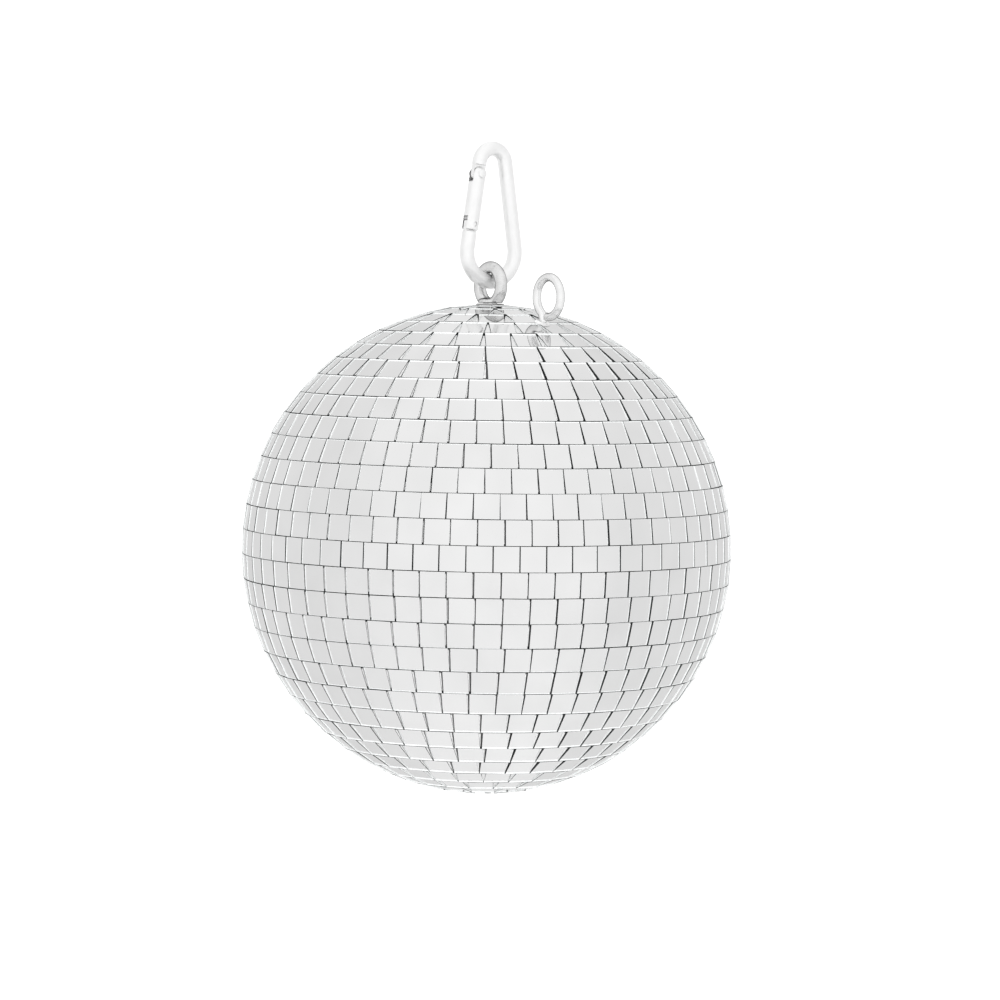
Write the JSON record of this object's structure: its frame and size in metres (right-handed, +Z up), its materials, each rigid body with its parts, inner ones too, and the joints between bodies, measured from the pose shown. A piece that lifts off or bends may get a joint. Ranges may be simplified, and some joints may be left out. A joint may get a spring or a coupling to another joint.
{
  "type": "mirror ball",
  "caption": "Mirror ball covered in rings of small flat glass mirrors, hanging by a ring eye from a sprung snap hook, with a second eye for a safety cable.",
  "frame": {"origin": "the point inside the top of the snap hook where the hook rests on whatever holds it up", "axes": "+Z up; the snap hook lies in the XZ plane with its gate on the -X side, and both eyes lie in the YZ plane with the safety eye on the -Y side"},
  "size_m": [0.1996, 0.1996, 0.266],
  "materials": {
    "mirror_facets": "polished silvered glass with ground edges",
    "core_plastic": "moulded, matt",
    "plate_steel": "pressed sheet, plain",
    "zinc_steel": "bright zinc plating",
    "hook_steel": "bright zinc plating",
    "spring_steel": "drawn wire"
  },
  "bodies": {
    "hook": {"hook_body": "hook_steel", "gate_hinge_pin": "hook_steel"},
    "gate": {"hook_gate": "hook_steel", "gate_latch_pin": "hook_steel", "gate_spring": "spring_steel"},
    "ball": {"core_upper_half": "core_plastic", "core_lower_half": "core_plastic", "reinforcing_plate": "plate_steel", "hanging_eye": "zinc_steel", "hanging_eye_washer": "zinc_steel", "hanging_eye_lock_washer": "zinc_steel", "hanging_eye_nut": "zinc_steel", "safety_eye": "zinc_steel", "safety_eye_washer": "zinc_steel", "safety_eye_lock_washer": "zinc_steel", "safety_eye_nut": "zinc_steel", "mirror_row_01": "mirror_facets", "mirror_row_02": "mirror_facets", "mirror_row_03": "mirror_facets", "mirror_row_04": "mirror_facets", "mirror_row_05": "mirror_facets", "mirror_row_06": "mirror_facets", "mirror_row_07": "mirror_facets", "mirror_row_08": "mirror_facets", "mirror_row_09": "mirror_facets", "mirror_row_10": "mirror_facets", "mirror_row_11": "mirror_facets", "mirror_row_12": "mirror_facets", "mirror_row_13": "mirror_facets", "mirror_row_14": "mirror_facets", "mirror_row_15": "mirror_facets", "mirror_row_16": "mirror_facets", "mirror_row_17": "mirror_facets", "mirror_row_18": "mirror_facets", "mirror_row_19": "mirror_facets", "mirror_row_20": "mirror_facets", "mirror_row_21": "mirror_facets", "mirror_row_22": "mirror_facets", "mirror_row_23": "mirror_facets", "mirror_row_24": "mirror_facets", "mirror_row_25": "mirror_facets", "mirror_row_26": "mirror_facets", "mirror_row_27": "mirror_facets", "mirror_row_28": "mirror_facets", "mirror_row_29": "mirror_facets", "mirror_row_30": "mirror_facets", "bottom_mirror": "mirror_facets"}
  },
  "joints": [
    {"name": "gate_swing", "type": "hinge", "parent": "hook", "child": "gate", "pos_m": [-0.0072, 0, -0.00743], "axis": [0, -1, 0], "range_deg": [0, 24], "stiffness_Nm_per_rad": 0.12, "springref_deg": -17.19},
    {"name": "ball_swing", "type": "hinge", "parent": "hook", "child": "ball", "pos_m": [0, 0, -0.051], "axis": [1, 0, 0], "range_deg": [-75, 105]}
  ]
}
